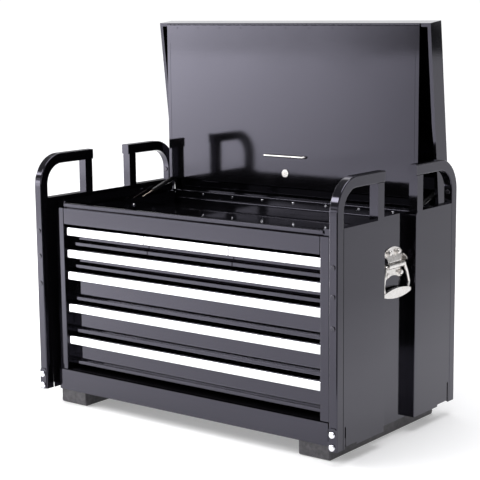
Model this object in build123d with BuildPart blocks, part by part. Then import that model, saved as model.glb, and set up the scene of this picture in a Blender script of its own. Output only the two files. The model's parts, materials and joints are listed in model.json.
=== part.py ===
from build123d import *
import math
import os

os.makedirs("parts", exist_ok=True)

# Toolbox with drawers, in millimetres. X runs across, Y from the front to the back, Z up.
# The origin is on the ground, midway between the front loops and the back of the open lid.

# Sheet and fits
sheet = 1.0  # folded sheet of drawers, walls and lid
plate = 1.2  # heavier sheet of posts, base and guards
free = 0.3  # air beside a moving face that nearly touches
bend = 1.5  # inside radius of a fold

# Cabinet
wall_x = 372.0  # outer face of a side wall
opening_x = 350.0  # half width of the drawer opening
post_edge = 1.5
cabinet_depth = 407.4  # front of the posts to the back of the back wall
wall_setback = 9.0  # front edge of the side walls behind the front of the posts
base_top = 80.0
post_top = 454.5
rail_bottom = 418.6  # top edge of the drawer opening
wall_top = 469.0
post_return = 25.0
rail_flange = 8.0
rail_gap = 1.0  # seam between the top rail and a post

# Base and skids
skid_height = 33.0
skid_width = 75.0
skid_front = 1.0
skid_length = cabinet_depth + 5.6
skid_radius = 6.0
skid_edge = 2.0
fascia_front = 4.0  # the base stands this far in front of the posts
base_flange = 12.0
beam_width = 40.0
beam_inset = 30.0

# Guards: bent tube loops and boxed panels outside both ends
tube_outer_x = 410.0
tube_width = 20.0
tube_depth = 23.0
tube_wall = 2.0
tube_corner = 2.5
loop_front = 28.6  # front of the front loops before the posts
loop_rear = 33.6  # back of the rear loops behind the cabinet
guard_span = loop_front + cabinet_depth + loop_rear
loop_top = 574.0
loop_radius = 70.0  # outer radius of the bend
leg_back = 169.6  # far face of the short leg from the loop's outer face
bar_overhang = 4.0
panel_top = 476.0
panel_back = 174.0
panel_corner = 8.0
panel_edge = 1.5
side_plate_sheet = 1.5
side_plate_top = 475.0
slot_width = 4.5
slot_edge = 4.5
slot_height = 45.0
slot_length = 46.0

# Zinc bolts, tabs and plugs on the front loops
bolt_heights = (42.0, 68.0)
bolt_head_radius = 7.0
bolt_head_height = 4.0
bolt_radius = 4.0
bolt_grip = 6.0
tab_width = 18.0
tab_height = 48.0
tab_sheet = 2.0
tab_corner = 4.0
plug_heights = (281.0, 344.0, 402.0)
plug_radius = 5.5
plug_height = 1.8
loop_plug_height = 500.0

# Tray under the lid
tray_x = 352.8  # outer face of an upstand
tray_upstand_top = 450.0
hem_top = 465.5
hem_height = 7.5
hem_front = 5.5
hem_bend = 1.0
tray_front = 12.0
tray_end_gap = 14.0  # upstands stop this far before the back wall
tray_roll_top = 436.0  # rolled rear edge of the tray
tray_roll = 2.6
tray_roll_bore = 1.4

# Drawers: fronts set between the posts
front_gap = 1.0  # between a pull's end and the post
bottom_gap = 11.1
row_gap = 6.3
small_front = 44.5
tall_front = 68.9
small_rows = 2
tall_rows = 3
columns = 3
column_gap = 2.6
pull_front = 6.0
pull_height = 20.3
pull_sheet = 2.0
pull_round = 4.5  # outer radius of the pull's top edge
pull_edge = 1.4
pull_lip = 4.0
face_setback = 25.5
lip_setback = 19.0
lip_height = 7.6
step_height = 6.6
foot_flange = 4.0
drawer_back_gap = 12.0
drawer_side_cut = 6.0  # drawer sides are lower than the front
rail_depth = 12.4
rail_height = 24.0
rail_lift = 6.0  # rail above the drawer's bottom
rail_play = 0.5
rail_start = 32.0
divider_sheet = 1.2
spacer_length = 20.0

# Rear hinge and lid
hinge_inset = 3.4  # hinge axis before the back of the cabinet
hinge_setback = cabinet_depth - hinge_inset
hinge_height = 452.0
knuckle_radius = 2.4
pin_radius = 1.1
pin_play = 0.05
knuckle_length = 12.0
knuckle_gap = 1.1
leaf_sheet = 1.0
chest_leaf_depth = 21.0
hinge_margin = 5.0
rivet_count = 9
rivet_pitch = 90.4
rivet_drop = 6.0
rivet_radius = 3.0
rivet_height = 1.2
lid_lean = 6.6  # degrees the open lid's rim leans forward from plumb
lid_x = 375.7
lid_overhang = 6.2  # the closed lid stands this far in front of the posts
lid_front_reach = hinge_setback + lid_overhang  # hinge axis to the front face of the closed lid
lid_rear_reach = 3.4
rim_lift = 20.0  # rim of the closed lid above the hinge axis
lid_depth = 50.0
lid_corner = 6.0
rim_flange = 8.0
rear_flange = 23.0  # hinge axis to the top of the rim's flange behind it
flange_roll = 1.3
strut_side_play = 2.5
tongue_start = 2.6

# Cover panel on the lid's front edge
cover_inset = 3.1  # cover axis behind the front face of the closed lid
cover_drop = 2.5  # cover axis below the rim
cover_x = 350.4
cover_sheet = 1.2
cover_length = 371.0
cover_knuckle = 1.9
cover_pin = 0.9
cover_leaf = 14.0
cover_leaf_sheet = 0.8
cover_top_leaf = 6.0
hem_band = 7.0
groove_inset = 9.0
groove_width = 1.0
groove_depth = 0.4
groove_start = 45.0
groove_end = 20.0
cover_rivet_pitch = 64.0
cover_rivets = 11
cover_rivet_radius = 2.2
cover_rivet_height = 0.8
cover_rivet_drop = 8.0
pull_drop = 300.0
pull_half = 56.0
pull_bar_radius = 3.0
pull_reach = 6.4
pull_tail = 1.5
pull_bend = 4.0
lock_drop = 339.5
lock_radius = 9.0
lock_flange = 2.0
lock_body = 12.0
lock_body_radius = 7.0
plug_bore = 5.0
plug_proud = 0.5
keyway_half = 0.8
keyway_reach = 3.0
cam_length = 9.0
cam_half = 4.0
cam_back = 5.0
cam_sheet = 2.0
stop_drop = 350.6
stop_x = 319.0
stop_radius = 2.5
stop_height = 1.5

# Gas struts
strut_x = 361.0
strut_low_reach = 164.0  # lower pivot before the hinge axis
strut_low_height = 433.0
stud_reach = 36.0  # lid stud from the hinge axis along the lid
stud_lift = 28.3
stud_radius = 4.0
stud_flange_radius = 6.5
stud_flange = 2.0
eye_radius = 7.0
eye_width = 6.0
eye_bore = 3.0
strut_rod = 2.75
strut_cylinder = 5.5
strut_gap = 18.0  # rod that shows when the lid is shut
rod_end_gap = 2.0
cylinder_wall = 1.2
bolt_head = 4.0
pivot_head_radius = 4.5

# Carry handles on the side plates
handle_height = 371.0
handle_sheet = 1.5
handle_half = 37.0
handle_top = 409.0
handle_bottom = 343.0
handle_shoulder = 12.0
handle_foot = 12.0
handle_foot_rise = 6.0
barrel_radius = 6.2
barrel_half = 32.0
bail_wire = 3.2
bail_pin = 22.0
bail_arm = ((0, 35.5, 0), (1.5, 43.5, -18), (2.5, 50.2, -40), (2.5, 45.0, -56.8))  # out, along, up
bail_bend = 4.5
grip_half = 52.5
grip_height = 20.7
grip_thickness = 8.5
grip_end = 6.5
handle_rivets = ((17.0, 398.0), (26.4, 352.6))
handle_rivet_radius = 5.4
handle_rivet_height = 7.4
barrel_web = 4.0
flap_top = 393.0  # hood over the barrel
flap_low = 378.5
flap_reach = 7.6
flap_half = 34.5
flap_low_half = 20.5
flap_chamfer = 8.0
ear_reach = 13.5  # ears: tabs bent outwards at the plate's ends
ear_low = 376.5
ear_slant = 3.0
ear_top = 391.0
ear_round = 10.0

# Derived places
lean = math.radians(lid_lean)
u_dir = Vector(0, -math.sin(lean), math.cos(lean))  # from the hinge towards the open lid's top
w_dir = Vector(0, math.cos(lean), math.sin(lean))  # from the rim towards the lid's skin
lid_back = (
    hinge_setback
    + (lid_rear_reach - lid_corner) * math.sin(lean)
    + (rim_lift + lid_depth - lid_corner) * math.cos(lean)
    + lid_corner
)
front_y = (loop_front + tab_sheet + bolt_head_height - lid_back) / 2
back_y = front_y + cabinet_depth
hinge_y = front_y + hinge_setback
hinge_at = Vector(0, hinge_y, hinge_height)
guard_front = front_y - loop_front
guard_mid = guard_front + guard_span / 2
guard_back = guard_front + guard_span
tube_inner_x = tube_outer_x - tube_width
tube_mid_x = tube_inner_x + tube_width / 2
wall_in = wall_x - sheet
tray_floor = rail_bottom + plate
tray_in = tray_x - sheet
skin_x = tube_outer_x - plate
low_at = Vector(0, hinge_y - strut_low_reach, strut_low_height)  # lower pivot of the struts


def block(x0, x1, y0, y1, z0, z1, mode=Mode.ADD):
    """A block between two corners, in the part being built."""
    with Locations(((x0 + x1) / 2, (y0 + y1) / 2, (z0 + z1) / 2)):
        Box(abs(x1 - x0), abs(y1 - y0), abs(z1 - z0), mode=mode)


def rod_x(x0, x1, y, z, radius, mode=Mode.ADD):
    """A round rod along X."""
    with Locations(Location(((x0 + x1) / 2, y, z), (0, 90, 0))):
        Cylinder(radius, abs(x1 - x0), mode=mode)


def rod_y(x, y0, y1, z, radius, mode=Mode.ADD):
    """A round rod along Y."""
    with Locations(Location((x, (y0 + y1) / 2, z), (90, 0, 0))):
        Cylinder(radius, abs(y1 - y0), mode=mode)


def save(part, name):
    """Label a finished piece and write its file."""
    part.label = name
    export_step(part, f"parts/{name}.step")


# Cabinet shell: side walls with turned-in front edges, back wall and floor
back_top = hinge_height - knuckle_radius - leaf_sheet - free - free
with BuildPart() as cabinet_shell:
    walls_y = front_y + wall_setback
    block(-wall_x, wall_x, walls_y, back_y, base_top, wall_top)
    block(-wall_in, wall_in, walls_y, back_y - sheet, base_top + sheet, wall_top, Mode.SUBTRACT)
    block(-wall_in, wall_in, back_y - sheet, back_y, back_top, wall_top, Mode.SUBTRACT)
    for s in (-1, 1):
        block(s * tray_x, s * wall_in, walls_y, walls_y + sheet, base_top, wall_top)
        rod_x(s * wall_in, s * wall_x, low_at.Y, low_at.Z, eye_bore, Mode.SUBTRACT)
save(cabinet_shell.part, "cabinet_shell")

# Front posts: channels beside the drawer opening
with BuildPart() as front_posts:
    for s in (-1, 1):
        inner = s * opening_x
        outer = s * wall_x
        block(inner, outer, front_y, front_y + wall_setback, base_top, post_top)
        hollow_0 = inner + s * plate
        hollow_1 = outer - s * plate
        hollow_y = front_y + plate
        hollow_top = post_top - plate
        block(hollow_0, hollow_1, hollow_y, front_y + wall_setback, base_top, hollow_top, Mode.SUBTRACT)
        block(inner, inner + s * plate, front_y, front_y + post_return, base_top + sheet, rail_bottom)
    fillet(front_posts.edges().filter_by(Axis.Z).group_by(Axis.Y)[0], post_edge)
save(front_posts.part, "front_posts")

# Top rail: channel between the posts, above the drawers
with BuildPart() as top_rail:
    rail_x = opening_x - rail_gap
    block(-rail_x, rail_x, front_y, front_y + plate, rail_bottom, post_top)
    block(-rail_x, rail_x, front_y, front_y + tray_front + plate, rail_bottom, tray_floor)
    block(-rail_x, rail_x, front_y, front_y + rail_flange, post_top - plate, post_top)
    rail_rear = top_rail.edges().filter_by(Axis.X).group_by(Axis.Y)[0].sort_by(Axis.Z)
    fillet([rail_rear[0], rail_rear[-1]], plate / 2)
save(top_rail.part, "top_rail")

# Tray pan: floor, front wall rolled over into the hem, side upstands
with BuildPart() as tray_pan:
    block(-tray_x, tray_x, front_y + tray_front, back_y - sheet - free, tray_floor, tray_floor + plate)
    hem_points = [
        (front_y + tray_front, tray_floor),
        (front_y + tray_front, hem_top - sheet),
        (front_y + hem_front + sheet, hem_top - sheet),
        (front_y + hem_front + sheet, hem_top - hem_height),
    ]
    with BuildSketch(Plane.YZ) as hem_section:
        with BuildLine():
            FilletPolyline(*hem_points, radius=hem_bend)
            offset(amount=sheet, side=Side.RIGHT)
        make_face()
    extrude(amount=tray_x, both=True)
    for s in (-1, 1):
        upstand_rear = back_y - tray_end_gap
        block(s * tray_in, s * tray_x, front_y + tray_front, upstand_rear, tray_floor, tray_upstand_top)
        rod_x(s * tray_in, s * tray_x, low_at.Y, low_at.Z, eye_bore, Mode.SUBTRACT)
    roll_z = tray_roll_top - tray_roll
    roll_rear = hinge_y + knuckle_radius - leaf_sheet - free
    block(-tray_in, tray_in, roll_rear - plate, roll_rear, tray_floor, roll_z)
    rod_x(-tray_in, tray_in, roll_rear - tray_roll, roll_z, tray_roll)
    rod_x(-tray_in, tray_in, roll_rear - tray_roll, roll_z, tray_roll_bore, Mode.SUBTRACT)
save(tray_pan.part, "tray_pan")

# Base frame: fascia and flanged sides under the cabinet, two beams out to the side plates
with BuildPart() as base_frame:
    base_front = front_y - fascia_front
    base_in = wall_x - plate
    block(-wall_x, wall_x, base_front, back_y, skid_height, base_top)
    block(-base_in, base_in, base_front + plate, back_y - plate, skid_height, base_top, Mode.SUBTRACT)
    for z in (skid_height, base_top - plate):
        block(-base_in, base_in, base_front + plate, back_y - plate, z, z + plate)
        block(
            -base_in + base_flange,
            base_in - base_flange,
            base_front + base_flange,
            back_y - base_flange,
            z,
            z + plate,
            Mode.SUBTRACT,
        )
    beam_x = tube_inner_x - side_plate_sheet
    for y in (front_y + beam_inset, back_y - beam_inset - beam_width):
        beam_end = y + beam_width
        beam_low = skid_height + plate
        block(-beam_x, beam_x, y, beam_end, skid_height, base_top)
        block(-beam_x, beam_x, y + plate, beam_end - plate, beam_low, base_top - plate, Mode.SUBTRACT)
save(base_frame.part, "base_frame")

# Skids: moulded blocks under both ends
with BuildPart() as skids:
    for s in (-1, 1):
        block(
            s * (wall_x - skid_width),
            s * wall_x,
            front_y + skid_front,
            front_y + skid_front + skid_length,
            0,
            skid_height,
        )
    ends = skids.edges().filter_by(Axis.X).group_by(Axis.Z)[0]
    fillet(ends, skid_radius)
    fillet(skids.edges().filter_by(Axis.Y), skid_edge)
save(skids.part, "skids")

# Side plates: inner skins of the guards, from loop to loop
with BuildPart() as side_plates:
    for s in (-1, 1):
        block(
            s * (tube_inner_x - side_plate_sheet),
            s * tube_inner_x,
            guard_front + tube_depth,
            guard_back - tube_depth,
            skid_height,
            side_plate_top,
        )
save(side_plates.part, "side_plates")

# Guard loops and panels. Each is drawn from its loop's outer face towards the middle of the side.
loop_names = ("front_loop", "rear_loop")
panel_names = ("front_guard", "rear_guard")
for end in range(2):
    outer_y = (guard_front, guard_back)[end]
    inward = (1, -1)[end]
    for s, hand in ((-1, "left"), (1, "right")):
        section_plane = Plane((s * tube_mid_x, 0, 0), x_dir=(0, 1, 0), z_dir=(1, 0, 0))
        with BuildPart() as loop:
            centre_radius = loop_radius - tube_depth / 2
            leg_y = outer_y + inward * tube_depth / 2
            bar_z = loop_top - tube_depth / 2
            bar_end = outer_y + inward * (leg_back + bar_overhang)
            for inset in (0, tube_wall):
                with BuildLine(section_plane) as centre_line:
                    FilletPolyline(
                        (leg_y, skid_height),
                        (leg_y, bar_z),
                        (bar_end - inward * inset, bar_z),
                        radius=centre_radius,
                    )
                with BuildSketch(Plane(centre_line.line @ 0, x_dir=(1, 0, 0), z_dir=(0, 0, 1))):
                    RectangleRounded(tube_width - 2 * inset, tube_depth - 2 * inset, tube_corner - inset / 2)
                sweep(path=centre_line.line, mode=Mode.ADD if inset == 0 else Mode.SUBTRACT)
            if end == 0:
                for z in bolt_heights:
                    rod_y(s * tube_mid_x, outer_y, outer_y + tube_wall, z, bolt_radius, Mode.SUBTRACT)
        leg_in = outer_y + inward * (leg_back - tube_depth)
        leg_out = outer_y + inward * leg_back
        with BuildPart() as leg:
            block(s * tube_inner_x, s * tube_outer_x, leg_in, leg_out, panel_top, loop_top - tube_depth)
            block(s * tube_inner_x, s * skin_x, leg_in, leg_out, skid_height, panel_top)
            block(
                s * (tube_inner_x + tube_wall),
                s * (skin_x - tube_wall),
                leg_in + inward * tube_wall,
                leg_out - inward * tube_wall,
                skid_height,
                loop_top - tube_depth - tube_wall,
                Mode.SUBTRACT,
            )
        save(Compound(children=[*loop.part.solids(), *leg.part.solids()]), f"{loop_names[end]}_{hand}")

        with BuildPart() as panel:
            edge_y = outer_y + inward * tube_depth
            flange_y = outer_y + inward * panel_back
            block(s * skin_x, s * tube_outer_x, edge_y, flange_y, skid_height, panel_top)
            block(s * tube_inner_x, s * skin_x, flange_y - inward * plate, flange_y, skid_height, panel_top)
            rear_corner = (s * tube_outer_x, flange_y, panel_top)
            fillet(panel.edges().filter_by(Axis.Z).sort_by_distance(rear_corner)[0], panel_edge)
            block(s * tube_inner_x, s * skin_x, edge_y, leg_in - inward * free, panel_top - plate, panel_top)
            slot_y = edge_y + inward * slot_edge
            block(
                s * skin_x,
                s * tube_outer_x,
                slot_y,
                slot_y + inward * slot_width,
                skid_height,
                skid_height + slot_height,
                Mode.SUBTRACT,
            )
            block(
                s * skin_x,
                s * tube_outer_x,
                slot_y,
                slot_y + inward * slot_length,
                skid_height,
                skid_height + slot_width,
                Mode.SUBTRACT,
            )
            with BuildSketch(section_plane):
                with BuildLine():
                    Polyline(
                        (flange_y, panel_top),
                        (flange_y, panel_top - panel_corner),
                        (flange_y - inward * panel_corner, panel_top),
                        close=True,
                    )
                make_face()
            extrude(amount=tube_width, both=True, mode=Mode.SUBTRACT)
        save(panel.part, f"{panel_names[end]}_{hand}")

# Tabs, zinc bolts and plugs on the front faces of the front loops
with BuildPart() as bolt_tabs:
    for s in (-1, 1):
        with BuildSketch(Plane.XZ.offset(-guard_front)):
            with Locations((s * tube_mid_x, skid_height + tab_height / 2)):
                RectangleRounded(tab_width, tab_height, tab_corner)
        extrude(amount=tab_sheet)
        for z in bolt_heights:
            rod_y(s * tube_mid_x, guard_front - tab_sheet, guard_front, z, bolt_radius, Mode.SUBTRACT)
save(bolt_tabs.part, "bolt_tabs")

with BuildPart() as loop_bolts:
    for s in (-1, 1):
        for z in bolt_heights:
            head_face = guard_front - tab_sheet
            rod_y(s * tube_mid_x, head_face, guard_front + bolt_grip, z, bolt_radius)
            rod_y(s * tube_mid_x, head_face - bolt_head_height, head_face, z, bolt_head_radius)
    rims = loop_bolts.edges().filter_by(GeomType.CIRCLE).group_by(Axis.Y)[0]
    fillet(rims, bolt_head_height * 0.7)
save(loop_bolts.part, "loop_bolts")

with BuildPart() as loop_plugs:
    for s in (-1, 1):
        for z in plug_heights:
            rod_y(s * tube_mid_x, guard_front - plug_height, guard_front, z, plug_radius)
        rear_face = guard_back - tube_depth
        rod_y(s * tube_mid_x, rear_face - plug_height, rear_face, loop_plug_height, plug_radius)
    plug_rims = loop_plugs.edges().filter_by(GeomType.CIRCLE).group_by(Axis.Y)
    fillet(plug_rims[0] + plug_rims[2], plug_height * 0.8)
save(loop_plugs.part, "loop_plugs")

# Carry handles: riveted plate with a barrel, rivets, and a bail that swings outwards
handle_x = tube_inner_x + handle_sheet + barrel_radius
with BuildPart() as handle_plates:
    for s in (-1, 1):
        plate_plane = Plane((s * tube_inner_x, guard_mid, 0), x_dir=(0, s, 0), z_dir=(s, 0, 0))
        shoulder = handle_top - handle_shoulder
        foot = handle_half - handle_foot
        with BuildSketch(plate_plane):
            with BuildLine():
                ThreePointArc((-handle_half, shoulder), (0, handle_top), (handle_half, shoulder))
                Line((handle_half, shoulder), (handle_half, handle_bottom))
                Line((handle_half, handle_bottom), (foot, handle_bottom))
                foot_top = (0, handle_bottom + handle_foot_rise)
                ThreePointArc((foot, handle_bottom), foot_top, (-foot, handle_bottom))
                Line((-foot, handle_bottom), (-handle_half, handle_bottom))
                Line((-handle_half, handle_bottom), (-handle_half, shoulder))
            make_face()
        extrude(amount=handle_sheet)
        barrel_x = s * handle_x
        barrel_low = guard_mid - barrel_half
        barrel_high = guard_mid + barrel_half
        web_x = s * (tube_inner_x + handle_sheet / 2)
        web_z = handle_height - barrel_web
        block(web_x, barrel_x, barrel_low, barrel_high, web_z, handle_height + barrel_web)
        rod_y(barrel_x, barrel_low, barrel_high, handle_height, barrel_radius)
        rod_y(barrel_x, barrel_low, barrel_high, handle_height, bail_wire + pin_play, Mode.SUBTRACT)
        end_plane = Plane((s * tube_inner_x, guard_mid, 0), x_dir=(s, 0, 0), z_dir=(0, -s, 0))
        with BuildSketch(end_plane):
            Polygon(
                (0, flap_top),
                (0, flap_top - 2 * handle_sheet),
                (flap_reach - handle_sheet, flap_low),
                (flap_reach, flap_low),
                (flap_reach, flap_low + handle_sheet),
                (handle_sheet, flap_top),
                align=None,
            )
        extrude(amount=flap_half, both=True)
        for t in (-1, 1):
            with BuildSketch(plate_plane.offset(handle_sheet)):
                Polygon(
                    (t * flap_half, flap_low - free),
                    (t * flap_low_half, flap_low - free),
                    (t * flap_half, flap_low + flap_chamfer),
                    align=None,
                )
            extrude(amount=flap_reach, mode=Mode.SUBTRACT)
        for t in (-1, 1):
            with BuildSketch(end_plane.offset(t * (handle_half - handle_sheet / 2))):
                Polygon(
                    (0, ear_low),
                    (ear_reach / 3, ear_low),
                    (ear_reach, ear_low + ear_slant),
                    (ear_reach, ear_top),
                    (0, ear_top),
                    align=None,
                )
                fillet(vertices().sort_by_distance((ear_reach, ear_top))[0], ear_round)
            extrude(amount=handle_sheet / 2, both=True)
save(handle_plates.part, "handle_plates")

with BuildPart() as handle_rivet_heads:
    for s in (-1, 1):
        rivet_x = s * (tube_inner_x + handle_sheet)
        for reach, z in handle_rivets:
            for t in (-1, 1):
                rivet_y = guard_mid + t * reach
                rod_x(rivet_x, rivet_x + s * handle_rivet_height, rivet_y, z, handle_rivet_radius)
    rivet_rims = handle_rivet_heads.edges().filter_by(GeomType.CIRCLE).group_by(Axis.X)
    fillet(rivet_rims[0] + rivet_rims[-1], handle_rivet_radius / 2)
save(handle_rivet_heads.part, "handle_rivets")

for s, hand in ((-1, "left"), (1, "right")):
    with BuildPart() as bail:
        axis_x = s * handle_x
        grip_z = handle_height + bail_arm[-1][2]
        for t in (-1, 1):
            arm_points = [(axis_x, guard_mid + t * (barrel_half - bail_pin), handle_height)]
            for out, along, up in bail_arm:
                arm_points.append((axis_x + s * out, guard_mid + t * along, handle_height + up))
            with BuildLine() as arm_line:
                FilletPolyline(*arm_points, radius=bail_bend)
            with BuildSketch(Plane(arm_line.line @ 0, z_dir=arm_line.line % 0)):
                Circle(bail_wire)
            sweep(path=arm_line.line)
        grip_at = (axis_x + s * bail_arm[-1][0], guard_mid, grip_z)
        grip_plane = Plane(grip_at, x_dir=(0, s, 0), z_dir=(s, 0, 0))
        with BuildSketch(grip_plane.offset(-grip_thickness / 2)) as grip_shape:
            with BuildLine():
                ThreePointArc((-grip_half, grip_end / 2), (0, grip_height / 2), (grip_half, grip_end / 2))
                Line((grip_half, grip_end / 2), (grip_half, -grip_end / 2))
                ThreePointArc((grip_half, -grip_end / 2), (0, -grip_height / 2), (-grip_half, -grip_end / 2))
                Line((-grip_half, -grip_end / 2), (-grip_half, grip_end / 2))
            make_face()
        extrude(amount=grip_thickness)
    save(bail.part, f"bail_{hand}")

# Rear piano hinge: the lower leaf is riveted to the back wall, the upper one to the lid
hinge_half = wall_in - hinge_margin
leaf_plane = Plane(hinge_at, x_dir=u_dir, z_dir=(-1, 0, 0))
knuckle_pairs = int(hinge_half // knuckle_length)
knuckle_pitch = hinge_half / knuckle_pairs


def knuckles(odd, half, pitch, pairs, y, z, outer, bore):
    """Every other barrel of a piano hinge along X."""
    for k in range(-pairs + odd, pairs, 2):
        rod_x(k * pitch + knuckle_gap / 2, (k + 1) * pitch - knuckle_gap / 2, y, z, outer)
    rod_x(-half, half, y, z, bore, Mode.SUBTRACT)


with BuildPart() as chest_hinge_leaf:
    leaf_y = hinge_y + knuckle_radius
    leaf_low = hinge_height - chest_leaf_depth
    block(-hinge_half, hinge_half, leaf_y - leaf_sheet, leaf_y, leaf_low, hinge_height)
    for k in range(-knuckle_pairs + 1, knuckle_pairs, 2):
        block(
            k * knuckle_pitch - knuckle_gap / 2,
            (k + 1) * knuckle_pitch + knuckle_gap / 2,
            leaf_y - 2 * knuckle_radius,
            leaf_y,
            hinge_height - knuckle_radius - free,
            hinge_height,
            Mode.SUBTRACT,
        )
    knuckles(0, hinge_half, knuckle_pitch, knuckle_pairs, hinge_y, hinge_height, knuckle_radius, pin_radius)
save(chest_hinge_leaf.part, "chest_hinge_leaf")

with BuildPart() as chest_hinge_pin:
    rod_x(-hinge_half, hinge_half, hinge_y, hinge_height, pin_radius)
save(chest_hinge_pin.part, "chest_hinge_pin")

with BuildPart() as hinge_rivets:
    for k in range(rivet_count):
        x = (k - (rivet_count - 1) / 2) * rivet_pitch
        face = leaf_y - leaf_sheet
        rod_y(x, face - rivet_height, face, hinge_height - rivet_drop, rivet_radius)
    fillet(hinge_rivets.edges().filter_by(GeomType.CIRCLE).group_by(Axis.Y)[0], rivet_height * 0.6)
save(hinge_rivets.part, "hinge_rivets")

with BuildPart() as lid_hinge_leaf:
    with BuildSketch(leaf_plane):
        with Locations((-knuckle_radius + leaf_sheet / 2, (rim_lift - free) / 2)):
            Rectangle(leaf_sheet, rim_lift - free)
    extrude(amount=hinge_half, both=True)
    for k in range(-knuckle_pairs, knuckle_pairs, 2):
        with BuildSketch(leaf_plane.offset(-(k + 0.5) * knuckle_pitch)):
            Rectangle(2 * knuckle_radius + leaf_sheet, 2 * (knuckle_radius + free))
        extrude(amount=(knuckle_pitch + knuckle_gap) / 2, both=True, mode=Mode.SUBTRACT)
    lid_bore = pin_radius + pin_play
    knuckles(1, hinge_half, knuckle_pitch, knuckle_pairs, hinge_y, hinge_height, knuckle_radius, lid_bore)
save(lid_hinge_leaf.part, "lid_hinge_leaf")

# Lid: a pan with a turned-in rim, open towards the cabinet, leaning back on its hinge
lid_face = Plane(hinge_at, x_dir=(-1, 0, 0), z_dir=w_dir)
lid_mid = (lid_front_reach - lid_rear_reach) / 2
lid_span = lid_front_reach + lid_rear_reach
lid_axis = Axis(hinge_at, w_dir)
flange_x = strut_x - strut_cylinder - strut_side_play  # clear of the struts
with BuildPart() as lid_shell:
    with BuildSketch(lid_face.offset(rim_lift)):
        with Locations((0, lid_mid)):
            Rectangle(2 * lid_x, lid_span)
    extrude(amount=lid_depth)
    fillet(lid_shell.faces().sort_by(lid_axis)[-1].edges(), lid_corner)
    offset(amount=-sheet, openings=lid_shell.faces().sort_by(lid_axis)[0])
    with BuildSketch(lid_face.offset(rim_lift)) as rim:
        with Locations((0, lid_mid)):
            Rectangle(2 * lid_x, lid_span)
        with Locations((0, lid_mid - rim_flange)):
            Rectangle(2 * (lid_x - rim_flange), lid_span, mode=Mode.SUBTRACT)
        with Locations((0, (rear_flange - lid_rear_reach) / 2)):
            Rectangle(2 * flange_x, rear_flange + lid_rear_reach)
    extrude(amount=sheet)
    roll_at = hinge_at + u_dir * (rear_flange - flange_roll) + w_dir * (rim_lift + flange_roll)
    rod_x(-flange_x, flange_x, roll_at.Y, roll_at.Z, flange_roll)
    with BuildSketch(lid_face.offset(tongue_start)):
        with Locations((0, -lid_rear_reach + sheet / 2)):
            Rectangle(2 * hinge_half, sheet)
    extrude(amount=rim_lift - tongue_start + sheet)
save(lid_shell.part, "lid_shell")

# Studs for the struts inside the lid's skirts
stud_at = hinge_at + u_dir * stud_reach + w_dir * stud_lift
with BuildPart() as strut_studs:
    for s in (-1, 1):
        stud_end = s * (strut_x + eye_width / 2 + free)
        skirt_x = s * (lid_x - sheet)
        rod_x(skirt_x, stud_end, stud_at.Y, stud_at.Z, stud_radius)
        rod_x(skirt_x, skirt_x - s * stud_flange, stud_at.Y, stud_at.Z, stud_flange_radius)
save(strut_studs.part, "strut_studs")

# Piano hinge of the cover panel, on the face of the lid's front rim
cover_at = hinge_at + u_dir * (lid_front_reach - cover_inset) + w_dir * (rim_lift - cover_drop)
cover_pairs = int(cover_x // knuckle_length)
cover_pitch = cover_x / cover_pairs
cover_plane = Plane(cover_at, x_dir=u_dir, z_dir=(-1, 0, 0))
with BuildPart() as cover_hinge_top_leaf:
    leaf_w = cover_drop - leaf_sheet / 2
    with BuildSketch(cover_plane):
        with Locations((-cover_top_leaf / 2 + cover_inset - free, leaf_w)):
            Rectangle(cover_top_leaf, leaf_sheet)
        with Locations((0, (cover_drop - leaf_sheet) / 2)):
            Rectangle(leaf_sheet, cover_drop - leaf_sheet)
    extrude(amount=cover_x, both=True)
    for k in range(-cover_pairs, cover_pairs, 2):
        with BuildSketch(cover_plane.offset(-(k + 0.5) * cover_pitch)):
            Circle(cover_knuckle + free)
        extrude(amount=(cover_pitch + knuckle_gap) / 2, both=True, mode=Mode.SUBTRACT)
    knuckles(1, cover_x, cover_pitch, cover_pairs, cover_at.Y, cover_at.Z, cover_knuckle, cover_pin)
save(cover_hinge_top_leaf.part, "cover_hinge_top_leaf")

with BuildPart() as cover_hinge_pin:
    rod_x(-cover_x, cover_x, cover_at.Y, cover_at.Z, cover_pin)
save(cover_hinge_pin.part, "cover_hinge_pin")

# Cover panel: hangs plumb from its hinge, with a folded bottom edge and pressed side lines
cover_front = cover_at.Y - cover_sheet / 2
cover_rear = cover_at.Y + cover_sheet / 2
cover_top_z = cover_at.Z - cover_knuckle - free
cover_low_z = cover_at.Z - cover_length
with BuildPart() as cover_hinge_leaf:
    leaf_rear = cover_rear + cover_leaf_sheet
    block(-cover_x, cover_x, cover_rear, leaf_rear, cover_at.Z - cover_leaf, cover_at.Z)
    for k in range(-cover_pairs + 1, cover_pairs, 2):
        block(
            k * cover_pitch - knuckle_gap / 2,
            (k + 1) * cover_pitch + knuckle_gap / 2,
            cover_at.Y - 2 * cover_knuckle,
            cover_at.Y + 2 * cover_knuckle,
            cover_at.Z - cover_knuckle - free,
            cover_at.Z + cover_knuckle,
            Mode.SUBTRACT,
        )
    cover_bore = cover_pin + pin_play
    knuckles(0, cover_x, cover_pitch, cover_pairs, cover_at.Y, cover_at.Z, cover_knuckle, cover_bore)
save(cover_hinge_leaf.part, "cover_hinge_leaf")

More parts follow.
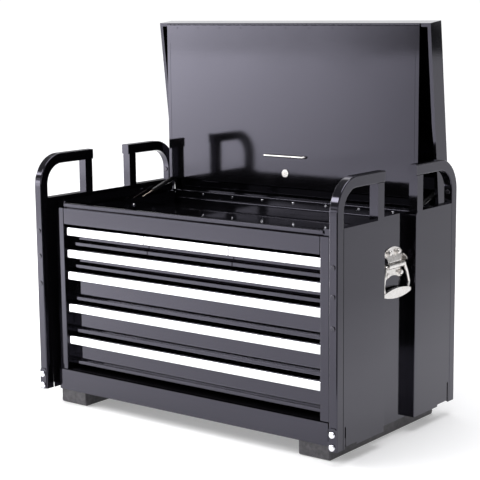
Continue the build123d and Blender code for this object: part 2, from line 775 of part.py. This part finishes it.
lock_z = cover_at.Z - lock_drop
pull_z = cover_at.Z - pull_drop
with BuildPart() as cover_panel:
    block(-cover_x, cover_x, cover_front, cover_rear, cover_low_z, cover_top_z)
    block(-cover_x, cover_x, cover_rear, cover_rear + sheet, cover_low_z, cover_low_z + hem_band)
    fillet(cover_panel.edges().filter_by(Axis.X).group_by(Axis.Z)[0].sort_by(Axis.Y)[0], cover_sheet / 2)
    for s in (-1, 1):
        groove_x = s * (cover_x - groove_inset)
        block(
            groove_x - groove_width / 2,
            groove_x + groove_width / 2,
            cover_front,
            cover_front + groove_depth,
            cover_low_z + groove_end,
            cover_at.Z - groove_start,
            Mode.SUBTRACT,
        )
        rod_y(s * pull_half, cover_front, cover_rear, pull_z, pull_bar_radius, Mode.SUBTRACT)
    rod_y(0, cover_front, cover_rear, lock_z, lock_body_radius, Mode.SUBTRACT)
save(cover_panel.part, "cover_panel")

with BuildPart() as cover_rivets_group:
    for k in range(cover_rivets):
        x = (k - (cover_rivets - 1) / 2) * cover_rivet_pitch
        rivet_z = cover_at.Z - cover_rivet_drop
        rod_y(x, cover_front - cover_rivet_height, cover_front, rivet_z, cover_rivet_radius)
    for s in (-1, 1):
        stop_z = cover_at.Z - stop_drop
        rod_y(s * stop_x, cover_front - stop_height, cover_front, stop_z, stop_radius)
save(cover_rivets_group.part, "cover_rivets")

with BuildPart() as cover_pull:
    bar_y = cover_front - pull_reach
    with BuildLine() as pull_line:
        FilletPolyline(
            (-pull_half, cover_rear + pull_tail, pull_z),
            (-pull_half, bar_y, pull_z),
            (pull_half, bar_y, pull_z),
            (pull_half, cover_rear + pull_tail, pull_z),
            radius=pull_bend,
        )
    with BuildSketch(Plane(pull_line.line @ 0, z_dir=pull_line.line % 0)):
        Circle(pull_bar_radius)
    sweep(path=pull_line.line)
save(cover_pull.part, "cover_pull")

# Lock: barrel through the cover with a turning plug and cam
with BuildPart() as lock_barrel:
    rod_y(0, cover_front - lock_flange, cover_front, lock_z, lock_radius)
    rod_y(0, cover_front, cover_rear + lock_body, lock_z, lock_body_radius)
    rod_y(0, cover_front - lock_flange, cover_rear + lock_body, lock_z, plug_bore + pin_play, Mode.SUBTRACT)
save(lock_barrel.part, "lock_barrel")

with BuildPart() as lock_plug:
    cam_y = cover_rear + lock_body + free
    plug_y = cover_front - lock_flange - plug_proud
    key_low = lock_z - keyway_reach
    rod_y(0, plug_y, cam_y, lock_z, plug_bore)
    block(-keyway_half, keyway_half, plug_y, cover_front, key_low, lock_z + keyway_reach, Mode.SUBTRACT)
    block(-cam_half, cam_half, cam_y, cam_y + cam_sheet, lock_z - cam_length, lock_z + cam_back)
save(lock_plug.part, "lock_plug")

# Gas struts: cylinder above, rod below, in the channels beside the tray
strut_dir = (stud_at - low_at).normalized()
shut_stud = Vector(0, hinge_y - stud_reach, hinge_height + stud_lift)
shut_length = (shut_stud - low_at).length
cylinder_length = shut_length - 2 * eye_radius - strut_gap
rod_length = shut_length - eye_radius - cylinder_wall - rod_end_gap
for s, hand in ((-1, "left"), (1, "right")):
    low_eye = Vector(s * strut_x, low_at.Y, low_at.Z)
    rod_plane = Plane(low_eye, x_dir=(1, 0, 0), z_dir=strut_dir)
    with BuildPart() as strut_rod_part:
        with BuildSketch(rod_plane):
            Circle(strut_rod)
        extrude(amount=rod_length)
        eye_x0 = s * strut_x - eye_width / 2
        eye_x1 = s * strut_x + eye_width / 2
        rod_x(eye_x0, eye_x1, low_at.Y, low_at.Z, eye_radius)
        rod_x(eye_x0, eye_x1, low_at.Y, low_at.Z, eye_bore + pin_play, Mode.SUBTRACT)
    save(strut_rod_part.part, f"strut_rod_{hand}")

    top_eye = Vector(s * strut_x, stud_at.Y, stud_at.Z)
    cylinder_plane = Plane(top_eye, x_dir=(1, 0, 0), z_dir=-strut_dir)
    with BuildPart() as strut_cylinder_part:
        rod_x(eye_x0, eye_x1, stud_at.Y, stud_at.Z, eye_radius)
        with BuildSketch(cylinder_plane):
            Circle(strut_rod)
        extrude(amount=eye_radius + cylinder_wall)
        with BuildSketch(cylinder_plane.offset(eye_radius)):
            Circle(strut_cylinder)
        extrude(amount=cylinder_length)
        with BuildSketch(cylinder_plane.offset(eye_radius + cylinder_wall)):
            Circle(strut_cylinder - cylinder_wall)
        extrude(amount=cylinder_length - 2 * cylinder_wall, mode=Mode.SUBTRACT)
        with BuildSketch(cylinder_plane.offset(eye_radius + cylinder_length - 2 * cylinder_wall)):
            Circle(strut_rod + pin_play)
        extrude(amount=3 * cylinder_wall, mode=Mode.SUBTRACT)
    save(strut_cylinder_part.part, f"strut_cylinder_{hand}")

with BuildPart() as strut_bolts:
    for s in (-1, 1):
        rod_x(s * (tray_in - bolt_head), s * wall_x, low_at.Y, low_at.Z, eye_bore)
        rod_x(s * (tray_in - bolt_head), s * tray_in, low_at.Y, low_at.Z, pivot_head_radius)
    bolt_rims = strut_bolts.edges().filter_by(GeomType.CIRCLE).sort_by(lambda rim: abs(rim.center().X))
    fillet(bolt_rims[:2], bolt_head * 0.6)
save(strut_bolts.part, "strut_bolts")

# Drawers, from the bottom row up. The top row is three drawers side by side.
# Each front's sheet folds forward at the top, under and behind its pull.
face_y = front_y + face_setback
lip_y = front_y + lip_setback
pull_y = front_y + pull_front
drawer_rear = back_y - sheet - drawer_back_gap
front_x = opening_x - front_gap
column_width = (2 * front_x - (columns - 1) * column_gap) / columns
row_bottom = base_top + bottom_gap
drawers = []
for row in range(small_rows + tall_rows):
    number = small_rows + tall_rows - row
    top_row_bottom = row_bottom
    height = tall_front if row < tall_rows else small_front
    if number > 1:
        drawers.append((f"drawer_{number}", -front_x, front_x, -opening_x, opening_x, row_bottom, height))
    else:
        for c, place in enumerate(("left", "centre", "right")):
            x0 = -front_x + c * (column_width + column_gap)
            x1 = x0 + column_width
            seat_0 = -opening_x if c == 0 else x0 - (column_gap - divider_sheet) / 2
            seat_1 = opening_x if c == columns - 1 else x1 + (column_gap - divider_sheet) / 2
            drawers.append((f"drawer_{number}_{place}", x0, x1, seat_0, seat_1, row_bottom, height))
    row_bottom += height + row_gap

for name, x0, x1, seat_0, seat_1, bottom, height in drawers:
    top = bottom + height
    box_x0 = seat_0 + rail_depth + rail_play
    box_x1 = seat_1 - rail_depth - rail_play
    mid_x = (x0 + x1) / 2
    with BuildPart() as drawer:
        step_z = bottom + lip_height + step_height
        hook_y = pull_y + pull_sheet + sheet
        hook_top = top - pull_sheet - sheet
        front_points = [
            (hook_y, top - pull_height + pull_sheet + free),
            (hook_y, hook_top),
            (face_y, hook_top),
            (face_y, step_z),
            (lip_y, bottom + lip_height),
            (lip_y, bottom),
            (face_y + foot_flange, bottom),
        ]
        with BuildSketch(Plane.YZ.offset(mid_x)):
            with BuildLine():
                FilletPolyline(*front_points, radius=bend)
                offset(amount=sheet, side=Side.LEFT)
            make_face()
        extrude(amount=(x1 - x0) / 2, both=True)
        box_top = top - drawer_side_cut
        block(box_x0, box_x1, face_y + sheet / 2, drawer_rear, bottom, box_top)
        in_x0 = box_x0 + sheet
        in_x1 = box_x1 - sheet
        box_rear = drawer_rear - sheet
        block(in_x0, in_x1, face_y + sheet, box_rear, bottom + sheet, box_top, Mode.SUBTRACT)
    save(drawer.part, name)

    with BuildPart() as pull:
        block(x0, x1, pull_y, face_y + sheet, top - pull_sheet, top)
        block(x0, x1, pull_y, pull_y + pull_sheet, top - pull_height, top)
        block(x0, x1, pull_y, pull_y + pull_lip, top - pull_height, top - pull_height + pull_sheet)
        inner_corner = pull.edges().filter_by(Axis.X).sort_by_distance(
            (mid_x, pull_y + pull_sheet, top - pull_sheet)
        )[0]
        fillet(inner_corner, pull_round - pull_sheet)
        front_edges = pull.edges().filter_by(Axis.X).group_by(Axis.Y)[0].sort_by(Axis.Z)
        fillet(front_edges[-1], pull_round)
        fillet(front_edges[0], pull_edge)
    save(pull.part, name.replace("drawer", "pull"))

# Slide rails on the walls and on the dividers of the top row
with BuildPart() as slide_rails:
    for name, x0, x1, seat_0, seat_1, bottom, height in drawers:
        z0 = bottom + rail_lift
        for s, seat in ((-1, seat_0), (1, seat_1)):
            tip = seat - s * rail_depth
            web = seat - s * plate
            z1 = z0 + rail_height
            block(tip, seat, front_y + rail_start, drawer_rear, z0, z1)
            block(tip, web, front_y + rail_start, drawer_rear, z0 + plate, z1 - plate, Mode.SUBTRACT)
            if abs(seat) == opening_x:
                for y in (front_y + rail_start + spacer_length, drawer_rear - 2 * spacer_length):
                    block(seat, s * wall_in, y, y + spacer_length, z0, z1)
save(slide_rails.part, "slide_rails")

with BuildPart() as row_dividers:
    for c in range(1, columns):
        x = -front_x + c * (column_width + column_gap) - column_gap / 2
        block(
            x - divider_sheet / 2,
            x + divider_sheet / 2,
            front_y + rail_start,
            back_y - sheet,
            top_row_bottom,
            tray_floor,
        )
save(row_dividers.part, "row_dividers")
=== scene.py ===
import json
import math

import bpy
from mathutils import Matrix, Vector

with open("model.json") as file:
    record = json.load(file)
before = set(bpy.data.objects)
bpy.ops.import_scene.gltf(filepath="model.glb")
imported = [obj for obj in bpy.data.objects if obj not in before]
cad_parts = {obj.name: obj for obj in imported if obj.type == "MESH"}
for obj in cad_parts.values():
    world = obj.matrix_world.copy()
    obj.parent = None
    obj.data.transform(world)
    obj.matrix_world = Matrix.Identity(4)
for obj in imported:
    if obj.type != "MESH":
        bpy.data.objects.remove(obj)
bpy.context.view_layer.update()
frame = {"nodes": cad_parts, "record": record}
nodes = frame["nodes"]
scene = bpy.context.scene

# Camera of the photograph: place in metres, angles in radians, lens and sensor in millimetres
CAMERA_AT = Vector((1.86622, -2.45117, 0.89987))
YAW = math.radians(37.5134)
PITCH = math.radians(9.4994)
ROLL = math.radians(-0.5338)
LENS = 104.66
SENSOR = 36
FAR = 50  # metres


def make_camera():
    """The camera at the photograph's viewing angle."""
    ahead = Vector((-math.sin(YAW) * math.cos(PITCH), math.cos(YAW) * math.cos(PITCH), -math.sin(PITCH)))
    level = ahead.cross(Vector((0, 0, 1))).normalized()
    above = level.cross(ahead)
    right = math.cos(ROLL) * level + math.sin(ROLL) * above
    up = -math.sin(ROLL) * level + math.cos(ROLL) * above
    turn = Matrix((right, up, -ahead)).transposed()
    data = bpy.data.cameras.new("photo_camera")
    data.lens = LENS
    data.sensor_width = SENSOR
    data.clip_end = FAR
    camera = bpy.data.objects.new("photo_camera", data)
    camera.matrix_world = Matrix.Translation(CAMERA_AT) @ turn.to_4x4()
    scene.collection.objects.link(camera)
    scene.camera = camera


# Shader nodes


def spread(tree, source, start, end, low=0, high=1):
    """source from start to end becomes low to high."""
    node = tree.nodes.new("ShaderNodeMapRange")
    node.inputs["From Min"].default_value = start
    node.inputs["From Max"].default_value = end
    node.inputs["To Min"].default_value = low
    node.inputs["To Max"].default_value = high
    tree.links.new(source, node.inputs["Value"])
    return node.outputs["Result"]


def maths(tree, operation, *terms):
    """The operation on its terms, each a number or another node's output."""
    node = tree.nodes.new("ShaderNodeMath")
    node.operation = operation
    for socket, term in zip(node.inputs, terms):
        if isinstance(term, (int, float)):
            socket.default_value = term
        else:
            tree.links.new(term, socket)
    return node.outputs["Value"]


# Materials

NOISE_LOW = 0.3  # noise below this and above NOISE_HIGH is cut off
NOISE_HIGH = 0.7


class Finish:
    """One procedural material: a principled shader with noise in the object's own metres."""

    def __init__(self, name, metallic=0.0, specular=0.5):
        self.material = bpy.data.materials.new(name)
        self.material.use_nodes = True
        self.tree = self.material.node_tree
        self.shader = self.tree.nodes["Principled BSDF"]
        self.place = self.tree.nodes.new("ShaderNodeTexCoord").outputs["Object"]
        self.shader.inputs["Metallic"].default_value = metallic
        self.shader.inputs["Specular IOR Level"].default_value = specular
        self.bump = None

    def link(self, output, socket):
        self.tree.links.new(output, socket)

    def stretched(self, stretch):
        """Object coordinates, stretched per axis."""
        mapping = self.tree.nodes.new("ShaderNodeMapping")
        mapping.inputs["Scale"].default_value = stretch
        self.link(self.place, mapping.inputs["Vector"])
        return mapping.outputs["Vector"]

    def noise(self, scale, detail, stretch=None):
        """Noise with scale cells to the metre, drawn out along the axes whose stretch is below 1."""
        node = self.tree.nodes.new("ShaderNodeTexNoise")
        node.inputs["Scale"].default_value = scale
        node.inputs["Detail"].default_value = detail
        self.link(self.stretched(stretch) if stretch else self.place, node.inputs["Vector"])
        return node.outputs["Fac"]

    def colour(self, noise, dark, light):
        node = self.tree.nodes.new("ShaderNodeMix")
        node.data_type = "RGBA"
        node.inputs["A"].default_value = (*dark, 1)
        node.inputs["B"].default_value = (*light, 1)
        self.link(spread(self.tree, noise, NOISE_LOW, NOISE_HIGH), node.inputs["Factor"])
        self.link(node.outputs["Result"], self.shader.inputs["Base Color"])

    def roughness(self, noise, low, high):
        share = spread(self.tree, noise, NOISE_LOW, NOISE_HIGH, low, high)
        self.link(share, self.shader.inputs["Roughness"])

    def relief(self, noise, height, strength):
        """A bump of this height in metres, on top of any bump before it."""
        node = self.tree.nodes.new("ShaderNodeBump")
        node.inputs["Distance"].default_value = height
        node.inputs["Strength"].default_value = strength
        self.link(noise, node.inputs["Height"])
        if self.bump is not None:
            self.link(self.bump, node.inputs["Normal"])
        self.bump = node.outputs["Normal"]
        self.link(self.bump, self.shader.inputs["Normal"])


def black_paint():
    f = Finish("gloss_black_paint", specular=0.8)
    f.shader.inputs["Specular Tint"].default_value = (0.83, 0.8, 1.0, 1)
    f.colour(f.noise(14, detail=3), dark=(0.0018, 0.0017, 0.0021), light=(0.0034, 0.0032, 0.0039))
    f.roughness(f.noise(9, detail=4), low=0.04, high=0.09)
    f.relief(f.noise(4.5, detail=1), height=0.0012, strength=0.35)
    f.relief(f.noise(420, detail=1), height=0.00004, strength=0.25)
    return f.material


def skid_plastic():
    f = Finish("moulded_skid", specular=0.6)
    f.colour(f.noise(120, detail=5), dark=(0.014, 0.012, 0.016), light=(0.06, 0.055, 0.064))
    f.roughness(f.noise(60, detail=4), low=0.38, high=0.6)
    f.relief(f.noise(180, detail=4), height=0.0009, strength=0.6)
    return f.material


def zinc():
    f = Finish("bright_zinc", metallic=1.0)
    f.colour(f.noise(160, detail=3), dark=(0.78, 0.78, 0.84), light=(0.94, 0.93, 0.97))
    f.roughness(f.noise(220, detail=3), low=0.12, high=0.26)
    f.relief(f.noise(600, detail=2), height=0.00005, strength=0.3)
    return f.material


def plug_black():
    f = Finish("plug_plastic", specular=0.8)
    f.shader.inputs["Specular Tint"].default_value = (0.85, 0.82, 1.0, 1)
    f.colour(f.noise(300, detail=3), dark=(0.006, 0.006, 0.006), light=(0.012, 0.012, 0.012))
    f.roughness(f.noise(240, detail=3), low=0.1, high=0.18)
    f.relief(f.noise(900, detail=2), height=0.00004, strength=0.3)
    return f.material


def pull_aluminium():
    """Bright extrusion, with fine lines along its length."""
    f = Finish("bright_aluminium", metallic=1.0)
    tone = f.noise(500, detail=3, stretch=(0.01, 1, 1))
    polish = f.noise(700, detail=3, stretch=(0.006, 1, 1))
    lines = f.noise(900, detail=2, stretch=(0.004, 1, 1))
    f.colour(tone, dark=(0.86, 0.86, 0.88), light=(0.93, 0.93, 0.95))
    f.roughness(polish, low=0.05, high=0.12)
    f.relief(lines, height=0.00002, strength=0.25)
    return f.material


def nickel():
    f = Finish("satin_nickel", metallic=1.0)
    f.colour(f.noise(90, detail=4), dark=(0.76, 0.73, 0.7), light=(0.88, 0.86, 0.84))
    f.roughness(f.noise(130, detail=4), low=0.16, high=0.3)
    f.relief(f.noise(260, detail=3), height=0.00006, strength=0.3)
    return f.material


def strut_black():
    f = Finish("strut_cylinder_paint", specular=0.8)
    f.colour(f.noise(60, detail=3), dark=(0.006, 0.006, 0.006), light=(0.014, 0.014, 0.014))
    f.roughness(f.noise(80, detail=3), low=0.16, high=0.28)
    f.relief(f.noise(500, detail=2), height=0.00004, strength=0.3)
    return f.material


def strut_rod():
    f = Finish("strut_rod_steel", metallic=1.0)
    f.colour(f.noise(80, detail=3), dark=(0.5, 0.42, 0.35), light=(0.66, 0.57, 0.49))
    f.roughness(f.noise(160, detail=3), low=0.1, high=0.2)
    f.relief(f.noise(700, detail=2), height=0.00003, strength=0.3)
    return f.material


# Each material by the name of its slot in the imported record
MAKERS = {
    "black_paint": black_paint,
    "skid_plastic": skid_plastic,
    "zinc": zinc,
    "plug_black": plug_black,
    "pull_aluminium": pull_aluminium,
    "nickel": nickel,
    "strut_black": strut_black,
    "strut_rod": strut_rod,
}


def dress_nodes():
    finishes = {slot: make() for slot, make in MAKERS.items()}
    for row in frame["record"]["subparts"]:
        node = nodes[row["node"]]
        node.data.materials.clear()
        node.data.materials.append(finishes[row["material_slot"]])


# Studio, in metres

# The room around the floor: sine of the angle above the horizon, and how light it is there. The paint
# mirrors its two low light bands and its light ceiling.
ROOM = [(-1, 0.01), (-0.01, 0.01), (0, 0.3), (0.07, 0.3), (0.1, 0.06), (0.15, 0.06), (0.18, 0.3),
        (0.23, 0.3), (0.27, 0.06), (0.85, 0.06), (0.91, 1)]
ROOM_STRENGTH = 3.9
ROOM_TINT = (0.98, 0.98, 1)
WALL_STRENGTH = 1.05

# Outline of the floor, without its front right part: the edges that face there stay dark
FLOOR = [(0.95, -0.5), (20, -0.5), (20, 20), (-20, 20), (-20, -20), (-7.5, -20), (-0.1, -2.1), (0.3, -0.9)]
FLOOR_DROP = 0.0005
# Painted light: the floor glows by itself, though it is no lamp, to lift the shadows near the object
FLOOR_GLOW = 0.3
GLOW_START = 0.75
GLOW_END = 1.25


def pale_floor():
    """White paper with painted light: a faint glow of its own, which lifts the shadows near the object and
    fades out from GLOW_START to GLOW_END in X.
    """
    f = Finish("pale_floor", specular=0.2)
    f.colour(f.noise(3, detail=2), dark=(0.74, 0.74, 0.74), light=(0.77, 0.77, 0.77))
    f.roughness(f.noise(5, detail=2), low=0.7, high=0.8)
    # Painted light: the floor emits light of its own, strongest near the object, to lift its shadows
    f.shader.inputs["Emission Color"].default_value = (1, 1, 1, 1)
    split = f.tree.nodes.new("ShaderNodeSeparateXYZ")
    f.link(f.place, split.inputs["Vector"])
    glow = spread(f.tree, split.outputs["X"], GLOW_START, GLOW_END, FLOOR_GLOW, 0)
    f.link(glow, f.shader.inputs["Emission Strength"])
    return f.material


def soft_box(name, at, aim, width, height, radiance, fade):
    """A soft rectangular light, which the camera doesn't see.

    fade: where its left, right, bottom and top edges reach full strength, as shares of its size
    """
    data = bpy.data.lights.new(name, "AREA")
    data.shape = "RECTANGLE"
    data.size = width
    data.size_y = height
    data.energy = radiance * math.pi * width * height
    data.use_nodes = True
    tree = data.node_tree
    place = tree.nodes.new("ShaderNodeNewGeometry")
    split = tree.nodes.new("ShaderNodeSeparateXYZ")
    tree.links.new(place.outputs["Parametric"], split.inputs["Vector"])
    strength = 1.0
    for axis, edge, full in zip("XXYY", (0, 1, 0, 1), fade):
        strength = maths(tree, "MULTIPLY", strength, spread(tree, split.outputs[axis], edge, full))
    tree.links.new(strength, tree.nodes["Emission"].inputs["Strength"])
    light = bpy.data.objects.new(name, data)
    light.location = at
    light.rotation_euler = (Vector(aim) - Vector(at)).to_track_quat("-Z", "Y").to_euler()
    light.visible_camera = False
    scene.collection.objects.link(light)


def make_world():
    """The room, and the white wall that the camera sees in its place."""
    world = bpy.data.worlds.new("studio")
    world.use_nodes = True
    tree = world.node_tree
    place = tree.nodes.new("ShaderNodeTexCoord")
    split = tree.nodes.new("ShaderNodeSeparateXYZ")
    tree.links.new(place.outputs["Generated"], split.inputs["Vector"])
    shades = tree.nodes.new("ShaderNodeValToRGB")
    stops = shades.color_ramp.elements
    while len(stops) < len(ROOM):
        stops.new(0.5)
    for stop, (height, shade) in zip(stops, ROOM):
        stop.position = (height + 1) / 2
        stop.color = (*(shade * share for share in ROOM_TINT), 1)
    height_share = maths(tree, "MULTIPLY_ADD", split.outputs["Z"], 0.5, 0.5)
    tree.links.new(height_share, shades.inputs["Fac"])
    room = tree.nodes["Background"]
    tree.links.new(shades.outputs["Color"], room.inputs["Color"])
    room.inputs["Strength"].default_value = ROOM_STRENGTH
    wall = tree.nodes.new("ShaderNodeBackground")
    wall.inputs["Color"].default_value = (1, 1, 1, 1)
    wall.inputs["Strength"].default_value = WALL_STRENGTH
    path = tree.nodes.new("ShaderNodeLightPath")
    mix = tree.nodes.new("ShaderNodeMixShader")
    tree.links.new(path.outputs["Is Camera Ray"], mix.inputs["Fac"])
    tree.links.new(room.outputs["Background"], mix.inputs[1])
    tree.links.new(wall.outputs["Background"], mix.inputs[2])
    tree.links.new(mix.outputs["Shader"], tree.nodes["World Output"].inputs["Surface"])
    scene.world = world


def make_floor():
    sheet = bpy.data.meshes.new("floor")
    sheet.from_pydata([(x, y, -FLOOR_DROP) for x, y in FLOOR], [], [range(len(FLOOR))])
    floor = bpy.data.objects.new("floor", sheet)
    scene.collection.objects.link(floor)
    floor.data.materials.append(pale_floor())


def make_lights():
    soft_box("left_glow", at=(-3.73, -2.7, 0.3), aim=(0, -0.2, 0.3), width=5.2, height=1.8, radiance=7.1,
             fade=(0.3, 0.5, 0.89, 0.89))
    soft_box("key", at=(-2.0, -2.75, 2.75), aim=(0, 0, 0.4), width=2.6, height=1.1, radiance=9.0,
             fade=(0.2, 0.8, 0.25, 0.75))
    soft_box("low_left", at=(-2.5, -0.8, 1.3), aim=(-2.5, -0.8, 0), width=2.0, height=1.4, radiance=18.0,
             fade=(0.2, 0.8, 0.2, 0.8))
    soft_box("above", at=(-2.6, 2.6, 3.2), aim=(-2.6, 2.6, 0), width=2.4, height=2.4, radiance=1.5,
             fade=(0.2, 0.8, 0.2, 0.8))


dress_nodes()
make_camera()
make_world()
make_floor()
make_lights()
scene.view_settings.view_transform = "Standard"
